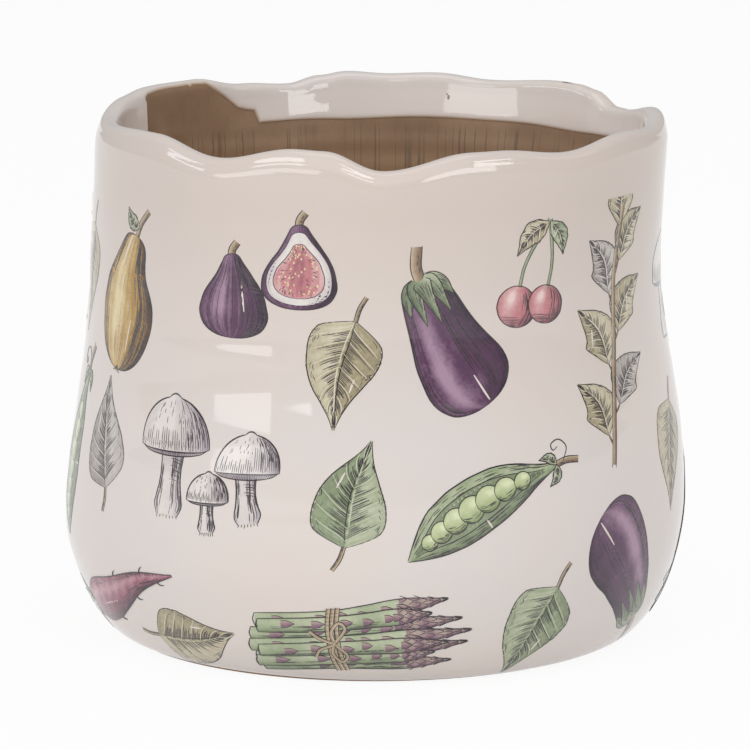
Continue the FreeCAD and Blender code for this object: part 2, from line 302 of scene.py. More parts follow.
# The glaze coat
# Cream gloss glaze, poured over the outside and the lip and stopped at a line inside, where it ends in a thin edge.
# At the back left a piece of it has flaked off the clay up to just under the lip.
glaze_line = 123.0
flake_edge = [(-112.9, 122.5), (-112.9, 134.0), (-114.5, 134.7), (-118.8, 135.0), (-122.7, 135.0), (-127.3, 134.8),
              (-130.6, 134.8), (-131.2, 134.3), (-132.0, 134.8), (-136.3, 134.4), (-138.7, 132.7), (-141.5, 130.5),
              (-145.3, 127.1), (-147.5, 126.4), (-149.6, 126.0), (-150.9, 122.5)]
edge_roll, edge_start, edge_below_lip = 0.5, 0.05, 0.35
# Nicks: angle and half width in degrees, then place below the lip's crest and half height in millimetres
nicks = [(135.3, 1.3, 0.8, 0.9), (134.1, 0.9, 1.0, 0.45), (164.3, 0.35, 6.9, 0.7), (164.7, 0.25, 6.2, 0.4)]
coat_degrees = np.unique(np.concatenate([
    np.arange(-180, 180, 1.0), np.arange(-153, -111, 0.25), np.arange(-113.4, -112.4, 0.05),
    np.arange(133, 138, 0.15), np.arange(163.5, 165.6, 0.15),
]).round(3))
flake_degrees, flake_heights = np.array(flake_edge[::-1]).T


def coat_edge(degrees):
    """Height inside the lip at which the glaze ends: its own line, or the flake's edge where that is higher."""
    line = glaze_line + 0.25 * np.sin(np.radians(degrees * 5)) + 0.15 * np.sin(np.radians(degrees * 13 + 40))
    chip = np.interp(degrees, flake_degrees, flake_heights, left=0, right=0)
    return np.maximum(line, chip)


def edge_along(degrees):
    level = plain_height(coat_edge(degrees), degrees)
    return along_inside(np.minimum(level, lip_height - edge_below_lip))


edge_marks, nearby_marks = np.linspace(-180, 180, 7201), 160
edge_line = np.stack([np.radians(edge_marks) * (mouth_radius - coated_wall), edge_along(edge_marks)], axis=-1)
ends = edge_along(coat_degrees)
lip_zone, away_from_edge, set_in_clay = 6, 8.0, 0.02
# Share of painted shade on the outer wall towards the lip, or of painted light inside the rim where it is negative, by
# the distance past the lip's crest
shade_past, painted_shade_shares = [-75, -40, -16, -3, 2, 6], [0, 0.5, 0.9, 0.8, 0, -0.6]
rows, edge_rows, painted_shade_rows = [], [], []
for along in np.linspace(0, lip_crest - lip_zone, 190):
    roll = 1 - np.exp(-(along + edge_start) / edge_roll)
    rows.append(wall_point(along, coat_degrees, glaze_thickness * (roll - 1)))
    edge_rows.append(np.full(coat_degrees.shape, along + away_from_edge))
    painted_shade_rows.append(np.interp(along - lip_crest + 0 * ends, shade_past, painted_shade_shares))
for share in np.linspace(0, 1, 64)[1:]:
    along = lip_crest - lip_zone + (ends - lip_crest + lip_zone) * share
    spots = np.stack([np.radians(coat_degrees) * (mouth_radius - coated_wall), along], axis=-1)
    gap = np.array([np.hypot(*(edge_line[max(0, near - nearby_marks):near + nearby_marks] - spot).T).min()
                    for spot, near in zip(spots, np.searchsorted(edge_marks, coat_degrees))])
    gap = np.minimum(gap, ends - along)
    roll = 1 - np.exp(-(gap + edge_start) / edge_roll)
    rows.append(wall_point(along, coat_degrees, glaze_thickness * (roll - 1)))
    for angle, half_angle, below_crest, half_height in nicks:
        reach = np.hypot((coat_degrees - angle) / half_angle, (along - lip_crest - below_crest) / half_height)
        gap = np.where(reach < 1, -1.0, gap)
    edge_rows.append(gap)
    painted_shade_rows.append(np.interp(along - lip_crest, shade_past, painted_shade_shares))
for share in np.linspace(1, 0, 24):
    rows.append(wall_point(ends * share, coat_degrees, -glaze_thickness - set_in_clay))
    edge_rows.append(0 * ends)
    painted_shade_rows.append(0 * ends)
glaze_coat = pot_piece("glaze_coat", np.array(rows), loop=True)
for measure, values in (("edge_gap", edge_rows), ("painted_shade", painted_shade_rows)):
    values = np.array(values, dtype=np.float32).ravel()
    glaze_coat.data.attributes.new(measure, "FLOAT", "POINT").data.foreach_set("value", values)

# Cream earthenware glaze, poured and fired glossy: a smooth glassy skin whose colour drifts between a warm and a
# cooler cream. It carries painted shade towards the lip outside and painted light inside the rim, ochre where it
# ends in a thin edge, and clay brown in the nicks.
drift_size = 45.0
peel_size, peel_detail, peel_strength, peel_depth = 5.0, 1.0, 0.10, 0.1
glaze, tree, shader = new_material("cream_gloss_glaze", 0.045, 1.52)
here = {"Vector": add(tree, "ShaderNodeTexCoord", {}).outputs["Object"]}
drift = noise(tree, here, drift_size, 3.0, Distortion=0.6)
coat_colour = graded(tree, drift, (0.0, "#dccec4"), (0.40, "#ddd3cd"), (0.62, "#dbd3cf"))
# Share of painted shade, negative where painted light pales the inside of the rim
painted_shade = add(tree, "ShaderNodeAttribute", {"attribute_name": "painted_shade"}).outputs["Fac"]
painted_light = add(tree, "ShaderNodeMath", {"operation": "MULTIPLY", 1: -1.0}, {0: painted_shade}).outputs[0]
gap = add(tree, "ShaderNodeAttribute", {"attribute_name": "edge_gap"}).outputs["Fac"]
thin, nicked = ranged(tree, gap, 0.15, 0.8, 0.75, 0.0), ranged(tree, gap, -0.8, -0.1, 0.9, 0.0)
# Painted shade greys the outer wall towards the lip and painted light pales the inside of the rim; the ochre edge and
# the brown nicks are the glaze's own colours
for code, amount in (("#cfc2b9", painted_shade), ("#ece1d9", painted_light), ("#bf9f78", thin), ("#6b523f", nicked)):
    coat_colour = tinted(tree, coat_colour, code, amount)
tree.links.new(coat_colour, shader.inputs["Base Color"])
roughen(tree, shader, here, peel_size, peel_detail, peel_strength, peel_depth)
glaze_coat.data.materials.append(glaze)
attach(glaze_coat, "root")
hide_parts("cream_glaze")

# The print transfers
# Plant drawings in ceramic colours. Each is printed on a thin film, cut out, laid on the glaze and fired, which burns
# the film away and sinks the colours into the gloss.
# How far lines, each further wash and the first one stand off the glaze, and how far a layer reaches into it
ink_lift, wash_step, first_lift, sunk = 0.0015, 0.003, 0.02, 0.02
hand = random.Random(3)


def smooth_line(marks, count):
    """Points on a smooth line through marked points."""
    marks = np.array(marks, float)
    ends = np.concatenate([[2 * marks[0] - marks[1]], marks, [2 * marks[-1] - marks[-2]]])
    share = np.linspace(0, len(marks) - 1, count)
    mark = np.clip(share.astype(int), 0, len(marks) - 2)
    part = (share - mark)[:, None]
    a, b, c, d = [ends[mark + step] for step in range(4)]
    return b + part / 2 * (c - a + part * (2 * a - 5 * b + 4 * c - d + part * (3 * (b - c) + d - a)))


def form(spine, widths, blunt=False):
    """A drawn form round a spine. Gives the point at a share q along it and a share t across it, -1 to 1."""
    steps = np.linspace(0, 1, 80)
    line = smooth_line(spine, 80)
    half = np.maximum(smooth_line([(width,) for width in widths], 80)[:, 0], 0.02)
    run = np.gradient(line, axis=0)
    run /= np.hypot(*run.T)[:, None]

    def at(q, t):
        q, t = paired(q, t)
        share = eased(np.clip(q, 0, 1)) if blunt else q
        u, v, across, up = [np.interp(share, steps, values) for values in (*line.T, *run.T)]
        reach = t * np.interp(q, steps, half)
        return np.stack([u + up * reach, v - across * reach], axis=-1)

    return at


def wash(sheet, at, tint, tone, q=(0.01, 0.99), t=(-1, 1), rows=24, columns=9):
    """Lays a wash of colour over part of a form, darker where the tone is higher."""
    share, across = np.linspace(*q, rows)[:, None], np.linspace(*t, columns)[None, :]
    points = at(share, across)
    sheet["lift"] += wash_step
    sheet["patches"].append((tint, points, np.broadcast_to(tone(share, across), points.shape[:2]), sheet["lift"]))


def stroke(sheet, marks, width, tone=0.85, tint="ink", count=8):
    """Draws one pen or brush line that thins towards its ends."""
    line = smooth_line(marks, count)
    run = np.gradient(line, axis=0)
    side = np.stack([-run[:, 1], run[:, 0]], axis=-1) / np.maximum(np.hypot(*run.T), 1e-6)[:, None]
    press = (width / 2 * (0.25 + 0.75 * np.sin(np.pi * np.linspace(0.05, 0.95, count)) ** 0.6))[:, None]
    points = np.stack([line + side * press, line - side * press], axis=1)
    sheet["patches"].append((tint, points, np.full((count, 2), tone), sheet["lift"] + ink_lift))


def glow(q, t, q_middle, q_size, t_middle, t_size):
    """A soft bright spot on a form."""
    return np.exp(-((t - t_middle) / t_size) ** 2 - ((q - q_middle) / q_size) ** 2)


def contour(sheet, at, width=0.34, q=(0.0, 1.0), sides=(-1, 1)):
    for side in sides:
        wobble = 1 + 0.012 * np.array([hand.uniform(-1, 1) for _ in range(16)])
        stroke(sheet, at(np.linspace(*q, 16), side * wobble), width, 0.9, count=34)


def hatch(sheet, at, number, q, t, length, width=0.17, tone=(0.45, 0.85), lean=0.0):
    """Short pen lines along a form, scattered between limits of q and t."""
    for _ in range(number):
        start, across = hand.uniform(*q), hand.uniform(*t)
        reach = hand.uniform(0.5, 1) * length
        path = np.linspace(start, min(start + reach, 0.985), 5)
        line = at(path, across + lean * np.linspace(0, 1, 5))
        stroke(sheet, line, width * hand.uniform(0.8, 1.3), hand.uniform(*tone), count=7)


def cross_hatch(sheet, at, number, q, t, width=0.17, tone=(0.45, 0.85), bow=0.03):
    """Curved pen lines across a form from its edge inwards, evenly spaced along it."""
    for step in range(number):
        place = q[0] + (q[1] - q[0]) * (step + hand.uniform(-0.3, 0.3)) / max(number - 1, 1)
        across = np.linspace(t[0], t[0] + (t[1] - t[0]) * hand.uniform(0.55, 1), 5)
        line = at(np.clip(place + bow * (1 - across**2), 0.01, 0.985), across)
        stroke(sheet, line, width * hand.uniform(0.8, 1.3), hand.uniform(*tone), count=7)


def draw_leaf(sheet, base, tip, half_width, bend, tint, veins=6, heart=False, deep=1.0):
    """A leaf with a pale midrib and side veins, washed darker on one half, with pen lines between the veins."""
    base, tip = np.array(base, float), np.array(tip, float)
    run = tip - base
    middle = (base + tip) / 2 + bend * np.array([-run[1], run[0]])
    shares = [0.04, 0.48, 0.84, 1.0, 0.96, 0.78, 0.52, 0.24, 0.02]
    if heart:
        shares = [0.02, 0.82, 1.0, 0.97, 0.86, 0.66, 0.40, 0.17, 0.02]
    smooth = form([base, middle, tip], [share * half_width for share in shares])
    teeth = 2 * veins + 1

    def at(q, t):
        return smooth(q, t * (1 + 0.05 * np.abs(t) ** 3 * np.sin(2 * np.pi * teeth * np.asarray(q))))

    for limits, ground in (((-1, 0), 0.42), ((0, 1), 0.20)):
        wash(sheet, at, tint, lambda q, t: ground * deep + 0.24 * deep
             * np.cos(2 * np.pi * (veins * 1.18 * (q - 0.20 * np.abs(t)) + 0.35)) * (1 - np.abs(t))
             + 0.28 * np.exp(-np.abs(t) / 0.18) + 0.10 * np.abs(t) ** 4, t=limits, rows=46, columns=6)
    places = np.linspace(0.06, 0.80, veins)
    for side in (-1, 1):
        for place in places:
            for step in range(7):
                start = place + 0.014 + (places[1] - places[0]) * 0.88 * (step + hand.uniform(0.1, 0.9)) / 7
                reach = hand.uniform(0.25, 0.62) * (1 - 0.45 * step / 7) + (0.22 if step == 0 else 0)
                path = 0.05 + np.linspace(0, min(reach, 0.84), 4)
                stroke(sheet, at(np.minimum(start + 0.20 * path, 0.985), side * path), hand.uniform(0.15, 0.24),
                       hand.uniform(0.55, 1.0) * (1 if side < 0 else 0.85), count=6)
            path = np.linspace(0.0, 0.93, 5)
            stroke(sheet, at(np.minimum(place + 0.20 * path, 0.985), side * path), 0.26, 0.02, tint, count=8)
        hatch(sheet, at, veins * 2, (0.1, 0.86), (0.78 * side, 0.97 * side), 0.07, 0.15)
    stroke(sheet, at(np.linspace(0, 0.98, 8), 0.05), 0.34, 0.0, tint, count=14)
    stroke(sheet, at(np.linspace(0, 0.98, 8), -0.05), 0.30, 0.95, count=14)
    contour(sheet, at, 0.30)
    return at


def draw_twig(sheet, marks, width):
    """A stem with a dark and a light side."""
    at = form(marks, [width / 2] * 3)
    wash(sheet, at, "twig", lambda q, t: 0.45 + 0.4 * t, rows=16, columns=4)
    contour(sheet, at, 0.24)
    hatch(sheet, at, 10, (0.05, 0.8), (0.1, 0.8), 0.14, 0.14)


def round_form(centre, radius, tall=1.0):
    return form([(centre[0], centre[1] - radius * tall), (centre[0], centre[1] + radius * tall)],
                radius * np.sin(np.pi * np.linspace(0, 1, 13)), blunt=True)


def tear(sheet, marks, width):
    """A hairline where the film parted before firing and the cream glaze shows."""
    stroke(sheet, marks, width, 0.0, "bare", count=6)


def draw_pear(sheet):
    body = form([(0.5, -22.6), (0.0, -10), (-0.5, 0), (0.5, 9.4)],
                [0, 4.6, 8.5, 11.0, 11.8, 10.6, 8.2, 6.2, 5.0, 3.4, 0], blunt=True)
    draw_twig(sheet, [(0.4, 8.6), (1.3, 12.6), (3.6, 16.6)], 1.5)
    wash(sheet, body, "golden", lambda q, t: 0.40 + 0.28 * t + 0.42 * np.abs(t) ** 3 + 0.09 * np.sin(21 * t + 4 * q)
         - 0.38 * glow(q, t, 0.42, 0.20, -0.34, 0.24), rows=40, columns=21)
    hatch(sheet, body, 110, (0.04, 0.80), (0.35, 0.98), 0.26, 0.19, (0.6, 1.0))
    hatch(sheet, body, 44, (0.06, 0.80), (-0.98, -0.74), 0.22, 0.17, (0.6, 1.0))
    hatch(sheet, body, 26, (0.06, 0.85), (-0.6, 0.3), 0.14, 0.14, (0.2, 0.45))
    cross_hatch(sheet, body, 18, (0.08, 0.62), (0.98, 0.55), 0.16)
    for _ in range(34):
        spot = body(hand.uniform(0.12, 0.85), hand.uniform(-0.9, 0.9))
        stroke(sheet, [spot, spot + [0.28, 0.12]], 0.24, hand.uniform(0.5, 0.9), count=3)
    for lean in (-1.6, -0.6, 0.5, 1.5):
        stroke(sheet, [(0.5, -21.8), (0.5 + lean * 0.6, -22.8), (0.5 + lean, -23.2)], 0.3)
    contour(sheet, body, 0.36)
    draw_leaf(sheet, (1.0, 11.6), (-5.4, 14.6), 1.9, 0.14, "sage", veins=4)
    tear(sheet, [body(0.62, -0.42), body(0.75, -0.46), body(0.90, -0.55)], 0.55)
    tear(sheet, [body(0.22, 0.30), body(0.38, 0.26)], 0.45)


def draw_aubergine(sheet):
    body = form([(0.6, -23.6), (-0.8, -9), (0.4, 10.2)],
                [0, 4.6, 8.1, 10.1, 10.6, 9.7, 8.3, 7.1, 6.2, 4.9, 0], blunt=True)
    wash(sheet, body, "purple", lambda q, t: 0.50 + 0.22 * t + 0.30 * np.abs(t) ** 4 + 0.05 * np.sin(17 * t + 3 * q)
         - 0.55 * glow(q, t, 0.45, 0.26, -0.42, 0.17)
         - 0.22 * glow(q, t, 0.40, 0.25, 0.80, 0.10), rows=40, columns=21)
    hatch(sheet, body, 60, (0.06, 0.72), (0.15, 0.97), 0.30, 0.17, (0.7, 1.0))
    hatch(sheet, body, 30, (0.08, 0.75), (-0.97, -0.72), 0.24, 0.16, (0.7, 1.0))
    contour(sheet, body, 0.36)
    draw_twig(sheet, [(0.3, 10.0), (0.9, 14.6), (3.2, 19.2)], 2.6)
    for lean, drop in ((-5.8, 4.2), (5.9, 4.6), (-3.2, 0.6), (3.5, 1.0), (0.2, -0.6)):
        sepal = form([(0.35 + lean * 0.12, 11.2), (0.35 + lean * 0.72, 8.4), (0.3 + lean, drop)],
                     [1.5, 2.2, 1.7, 0.9, 0.05])
        wash(sheet, sepal, "sage", lambda q, t: 0.40 + 0.25 * t + 0.35 * q, rows=14, columns=6)
        hatch(sheet, sepal, 12, (0.05, 0.6), (-0.8, 0.9), 0.35, 0.15)
        contour(sheet, sepal, 0.28)
    tear(sheet, [body(0.10, 0.15), body(0.22, 0.10), body(0.36, 0.12)], 0.5)


def draw_fig(sheet):
    turn = math.radians(sheet["tilt"])
    widths = np.array([0, 4.0, 6.9, 8.3, 8.1, 6.9, 5.0, 3.4, 2.3, 1.5, 0])
    for share, halved in ((-8.3, False), (8.3, True)):
        u, v = share * math.sin(turn), share * math.cos(turn)
        body = form([(u, v - 9.8), (u + 0.3, v), (u - 0.4, v + 8.2)], widths, blunt=True)
        draw_twig(sheet, [(u - 0.4, v + 7.4), (u - 0.2, v + 9.2), (u + 0.9, v + 10.8)], 1.7)
        wash(sheet, body, "purple", lambda q, t: 0.46 + 0.20 * t + 0.30 * np.abs(t) ** 3 + 0.13 * np.sin(24 * t)
             - 0.34 * glow(q, t, 0.45, 0.25, -0.4, 0.2)
             - 0.35 * np.clip(q - 0.72, 0, 1), rows=32, columns=21)
        if halved:
            rind = form([(u, v - 8.9), (u + 0.3, v), (u - 0.4, v + 6.6)], widths * 0.88, blunt=True)
            wash(sheet, rind, "pale", lambda q, t: 0.05 + 0.30 * np.abs(t) ** 6, rows=28, columns=13)
            flesh = form([(u, v - 7.4), (u + 0.3, v - 0.5), (u - 0.2, v + 4.2)], widths * 0.68, blunt=True)
            wash(sheet, flesh, "rose", lambda q, t: 0.30 + 0.45 * (1 - np.abs(t)) * np.sin(np.pi * q)
                 + 0.10 * np.sin(31 * t + 9 * q), rows=30, columns=17)
            for _ in range(95):
                q, t = hand.uniform(0.08, 0.92), hand.choice((-1, 1)) * hand.uniform(0.12, 0.96)
                start, end = flesh(q, t), flesh(0.5 + (q - 0.5) * 0.72, t * 0.66)
                stroke(sheet, [start, start + (end - start) * hand.uniform(0.4, 0.9)], 0.2, hand.uniform(0.5, 0.95),
                       hand.choice(("rose", "rose", "ink")), count=4)
            for _ in range(60):
                spot = flesh(hand.uniform(0.15, 0.85), hand.uniform(-0.8, 0.8))
                stroke(sheet, [spot, spot + [hand.uniform(-0.3, 0.3), 0.42]], 0.40, 0.0, "golden", count=4)
            contour(sheet, flesh, 0.20)
            contour(sheet, rind, 0.20)
        else:
            for t in np.linspace(-0.92, 0.92, 13):
                for q in (hand.uniform(0.06, 0.2), hand.uniform(0.4, 0.55)):
                    stroke(sheet, body(np.linspace(q, q + hand.uniform(0.2, 0.36), 6), t), 0.17, hand.uniform(0.6, 1.0))
            hatch(sheet, body, 46, (0.06, 0.78), (0.25, 0.97), 0.20, 0.17, (0.6, 1.0))
            cross_hatch(sheet, body, 14, (0.12, 0.6), (0.98, 0.5), 0.15)
            tear(sheet, [body(0.36, 0.34), body(0.58, 0.40)], 0.45)
        contour(sheet, body, 0.34)


def draw_mushroom(sheet):
    for u, v, half, tall, stalk, lean in (
            (-8.2, 2.2, 9.4, 10.4, 13.5, -0.8), (10.2, -1.8, 7.4, 8.4, 10.0, 1.2), (1.4, -7.8, 5.2, 6.2, 6.4, 0.3)):
        foot = form([(u + lean, v - stalk), (u + lean * 0.4, v - stalk * 0.5), (u, v + 1.2)],
                    np.array([0.30, 0.40, 0.36, 0.31, 0.29, 0.31, 0.36]) * half)
        wash(sheet, foot, "pale", lambda q, t: 0.14 + 0.20 * t + 0.32 * np.abs(t) ** 3
             + 0.30 * np.clip(q - 0.62, 0, 1) * 2, rows=18, columns=9)
        hatch(sheet, foot, 34, (0.0, 0.75), (0.10, 0.95), 0.34, 0.17)
        hatch(sheet, foot, 14, (0.0, 0.75), (-0.95, -0.6), 0.30, 0.15)
        cross_hatch(sheet, foot, 8, (0.55, 0.92), (0.95, -0.3), 0.15)
        contour(sheet, foot, 0.32)
        for t in np.linspace(-0.9, 0.9, 7):
            spot = foot(0.01, t)
            stroke(sheet, [spot, spot + [0.25 * t, -hand.uniform(0.5, 0.9)]], 0.18, count=4)

        def gills(q, t):
            q, t = paired(q, t)
            depth = half * 0.20 * (2 * q - 1) * np.sqrt(np.clip(1 - t**2, 0.0004, 1))
            return np.stack([u + t * half * 0.95, v + depth + 0.1 * half], axis=-1)

        def cap(q, t):
            q, t = paired(q, t)
            reach = np.sqrt(np.clip(1 - q**2.1, 0.0004, 1))
            rim = -0.20 * half * np.sqrt(np.clip(1 - t**2, 0, 1)) * (1 - q) * (0.55 if lean < 1 else 0.2)
            rise = q * tall * (0.92 + 0.08 * (1 - t**2))
            return np.stack([u + t * half * reach + lean * 0.5 * q, v + 0.1 * half + rise + rim], axis=-1)

        wash(sheet, gills, "pale", lambda q, t: 0.80 - 0.35 * np.abs(t), t=(-0.99, 0.99), rows=7, columns=21)
        for t in np.linspace(-0.95, 0.95, 34):
            stroke(sheet, [gills(0.02, t), gills(0.8, t * 0.7)], 0.15, hand.uniform(0.6, 1.0), count=4)
        stroke(sheet, gills(0.0, np.linspace(-0.99, 0.99, 14)), 0.26, count=24)
        wash(sheet, cap, "pale", lambda q, t: 0.16 + 0.26 * t + 0.28 * np.abs(t) ** 3 + 0.06 * np.sin(15 * t)
             - 0.22 * glow(q, t, 0.6, 0.25, -0.35, 0.3),
             q=(0.0, 0.985), rows=22, columns=21)
        for t in np.linspace(-0.96, 0.96, 30):
            reach = hand.uniform(0.12, 0.4) + (0.28 if t > 0.2 else 0)
            start = hand.uniform(0.0, 0.10)
            line = cap(np.linspace(start, min(start + reach, 0.9), 5), t)
            stroke(sheet, line, 0.17, hand.uniform(0.5, 0.95), count=7)
        hatch(sheet, cap, 46, (0.05, 0.75), (0.35, 0.97), 0.22, 0.16)
        hatch(sheet, cap, 14, (0.45, 0.8), (-0.7, 0.2), 0.12, 0.15, (0.3, 0.6))
        stroke(sheet, cap(0.0, np.linspace(-1, 1, 14)), 0.30, count=24)
        for side in (-1, 1):
            stroke(sheet, cap(np.sin(np.linspace(0, np.pi / 2, 12)) * 0.985, side), 0.34, count=22)
        stroke(sheet, cap(0.985, np.linspace(-1, 1, 5)), 0.30)


def draw_asparagus(sheet):
    for u, start, end, lean in (
            (-7.4, -26.2, 21.6, -0.6), (7.6, -25.4, 20.4, 0.9), (-3.2, -27.6, 24.6, 0.5), (4.0, -26.8, 25.2, -0.4),
            (-5.6, -25.6, 17.2, 0.6), (0.4, -28.2, 26.6, 0.3), (5.9, -27.0, 16.6, -0.7), (2.2, -26.0, 20.4, 0.9)):
        spear = form([(u * 0.96, start), (u * 0.90, -8.0), (u + lean * 0.4, 6.0), (u * 1.05 + lean, end)],
                     [1.9, 2.0, 2.0, 2.0, 2.0, 2.05, 2.1, 2.25, 1.95, 1.0, 0.06])
        wash(sheet, spear, "green", lambda q, t: 0.28 + 0.22 * t + 0.32 * np.abs(t) ** 3 + 0.10 * np.sin(14 * q),
             q=(0.0, 0.80), rows=20, columns=7)
        wash(sheet, spear, "plum", lambda q, t: 0.30 + 0.20 * t + 0.3 * np.abs(t) ** 3 + 0.16 * np.sin(70 * q),
             q=(0.74, 0.99), rows=16, columns=7)
        hatch(sheet, spear, 24, (0.02, 0.7), (0.15, 0.95), 0.12, 0.15)
        for place in (0.10, 0.25, 0.39, 0.52, 0.63, 0.71):
            place += hand.uniform(-0.025, 0.025)
            middle = hand.uniform(-0.25, 0.25)
            scale = form([spear(place + rise, middle) for rise in (0, 0.03, 0.065)], [1.0, 0.9, 0.05])
            wash(sheet, scale, "plum", lambda q, t: 0.45 + 0.3 * t, rows=6, columns=4)
            contour(sheet, scale, 0.2)
        for step, place in enumerate(np.linspace(0.75, 0.955, 7)):
            for side in (-0.55, 0.45) if step % 2 else (-0.95, 0.0, 0.9):
                bud = [spear(place, side - 0.4), spear(place + 0.032, side), spear(place, side + 0.4)]
                stroke(sheet, bud, 0.22, hand.uniform(0.7, 1.0), count=6)
        contour(sheet, spear, 0.28, q=(0.0, 0.99))
        stroke(sheet, [spear(0.0, -1), spear(0.0, 0) - [0, 0.5], spear(0.0, 1)], 0.28)
    for lift in (-0.9, 0.2, 1.3):
        band = form([(-9.3, -6.6 + lift), (-4, -7.5 + lift), (4, -7.4 + lift), (9.5, -6.3 + lift)], [0.48] * 4)
        wash(sheet, band, "twig", lambda q, t: 0.30 + 0.25 * t + 0.2 * np.sin(90 * q), rows=36, columns=4)
        contour(sheet, band, 0.2)
    for marks in ([(0.6, -7.2), (-3.2, -4.2), (-5.2, -5.6), (-2.8, -7.6), (0.6, -7.2)],
                  [(0.8, -7.2), (4.4, -4.6), (6.4, -6.0), (3.6, -7.8), (0.8, -7.2)],
                  [(0.5, -7.4), (-1.2, -10.6), (-3.4, -12.8)], [(0.9, -7.4), (2.2, -10.8), (4.6, -12.2)]):
        twine = form(marks, [0.42] * 4)
        wash(sheet, twine, "twig", lambda q, t: 0.25 + 0.3 * t, rows=26, columns=4)
        contour(sheet, twine, 0.18)


def draw_pea_pod(sheet):
    spine = [(1.6, -23.6), (-1.4, -11), (-2.0, 2), (0.4, 17.6)]
    pod = form(spine, [0.1, 3.0, 5.2, 6.3, 6.7, 6.6, 6.0, 4.6, 2.2, 0.5])
    wash(sheet, pod, "green", lambda q, t: 0.40 + 0.24 * t + 0.25 * np.abs(t) ** 3 + 0.05 * np.sin(40 * q),
         rows=36, columns=13)
    hatch(sheet, pod, 70, (0.06, 0.88), (0.60, 0.97), 0.09, 0.17)
    hatch(sheet, pod, 50, (0.06, 0.88), (-0.97, -0.62), 0.08, 0.16)
    opening = form(spine, [0.05, 1.0, 2.8, 3.9, 4.2, 4.1, 3.5, 2.2, 0.6, 0.05])
    wash(sheet, opening, "sage", lambda q, t: 0.85 - 0.3 * np.abs(t), q=(0.06, 0.92), rows=30, columns=7)
    contour(sheet, opening, 0.26, q=(0.05, 0.93))
    for q, radius in ((0.165, 1.9), (0.255, 2.5), (0.36, 2.9), (0.475, 3.1), (0.59, 3.05), (0.70, 2.7), (0.80, 2.1)):
        pea = round_form(pod(q, 0.0), radius)
        wash(sheet, pea, "pea", lambda q, t: 0.30 + 0.30 * t - 0.22 * (q - 0.5) + 0.32 * np.abs(t) ** 4
             - 0.36 * glow(q, t, 0.64, 0.13, -0.3, 0.25),
             rows=16, columns=11)
        hatch(sheet, pea, 12, (0.12, 0.6), (0.35, 0.95), 0.25, 0.15)
        contour(sheet, pea, 0.26)
    contour(sheet, pod, 0.34)
    draw_twig(sheet, [(0.3, 17.0), (1.0, 20.4), (2.8, 23.6)], 1.5)
    for lean in (-3.4, 3.6):
        draw_leaf(sheet, (0.5, 17.6), (0.4 + lean, 13.8), 1.2, 0.2 if lean > 0 else -0.2, "sage", veins=3)
    stroke(sheet, [(0.8, 19.4), (-1.6, 21.8), (-4.4, 20.8), (-4.6, 18.4), (-3.0, 18.2), (-3.1, 19.6)], 0.3, count=26)
    tear(sheet, [pod(0.53, 0.62), pod(0.54, 0.95)], 0.45)


def draw_carrot(sheet):
    for lean, reach in ((-7.2, -27.6), (7.0, -28.2), (-3.6, -31.6), (3.4, -32.2), (0.0, -33.0)):
        stem = form([(lean * 0.12, -19.0), (lean * 0.45, -24.0), (lean, reach)], [0.75, 0.6, 0.35])
        for q in np.linspace(0.38, 1.0, 6):
            for side in (-1, 1):
                start = stem(min(q, 0.99), 0.0)
                end = start + np.array([side * hand.uniform(1.4, 2.4) + lean * 0.08, -hand.uniform(1.3, 2.2)])
                frond = form([start, (start + end) / 2 + [side * 0.2, 0.1], end], [0.2, 0.75, 0.85, 0.5, 0.05])
                wash(sheet, frond, "sage", lambda q, t: 0.30 + 0.3 * t + 0.2 * q, rows=6, columns=4)
                stroke(sheet, frond(np.linspace(0, 0.95, 4), 0.1), 0.18, 0.8, count=5)
                contour(sheet, frond, 0.2, sides=(1,))
        wash(sheet, stem, "sage", lambda q, t: 0.45 + 0.3 * t, rows=12, columns=4)
        contour(sheet, stem, 0.22)
    body = form([(0.0, -20.2), (0.9, -4), (-0.5, 12), (0.9, 26.0)],
                [4.2, 6.3, 6.5, 6.0, 5.2, 4.3, 3.4, 2.5, 1.7, 0.9, 0.2])
    wash(sheet, body, "beet", lambda q, t: 0.38 + 0.24 * t + 0.30 * np.abs(t) ** 3 + 0.07 * np.sin(60 * q + 5 * t)
         - 0.34 * np.exp(-((t + 0.38) / 0.22) ** 2) * (1 - q), q=(0.0, 0.995), rows=48, columns=15)
    for side in (-1, 1):
        cross_hatch(sheet, body, 22, (0.02, 0.88), (side * 0.99, side * 0.35), 0.18, (0.6, 1.0), 0.008)
    hatch(sheet, body, 70, (0.03, 0.85), (0.25, 0.97), 0.10, 0.17, (0.6, 1.0))
    hatch(sheet, body, 24, (0.03, 0.85), (-0.97, -0.65), 0.08, 0.15, (0.6, 1.0))
    contour(sheet, body, 0.34, q=(0.0, 0.995))
    stroke(sheet, [body(0.0, -1), body(0.0, 0) - [0, 0.7], body(0.0, 1)], 0.4, count=12)
    for place, side in ((0.3, 1), (0.46, -1), (0.58, 1), (0.72, -1), (0.85, 1)):
        start = body(place, side)
        stroke(sheet, [start, start + [side * 0.9, 0.7], start + [side * 1.3, 1.8]], 0.2, count=7)
    tear(sheet, [body(0.18, 0.2), body(0.36, 0.3)], 0.45)


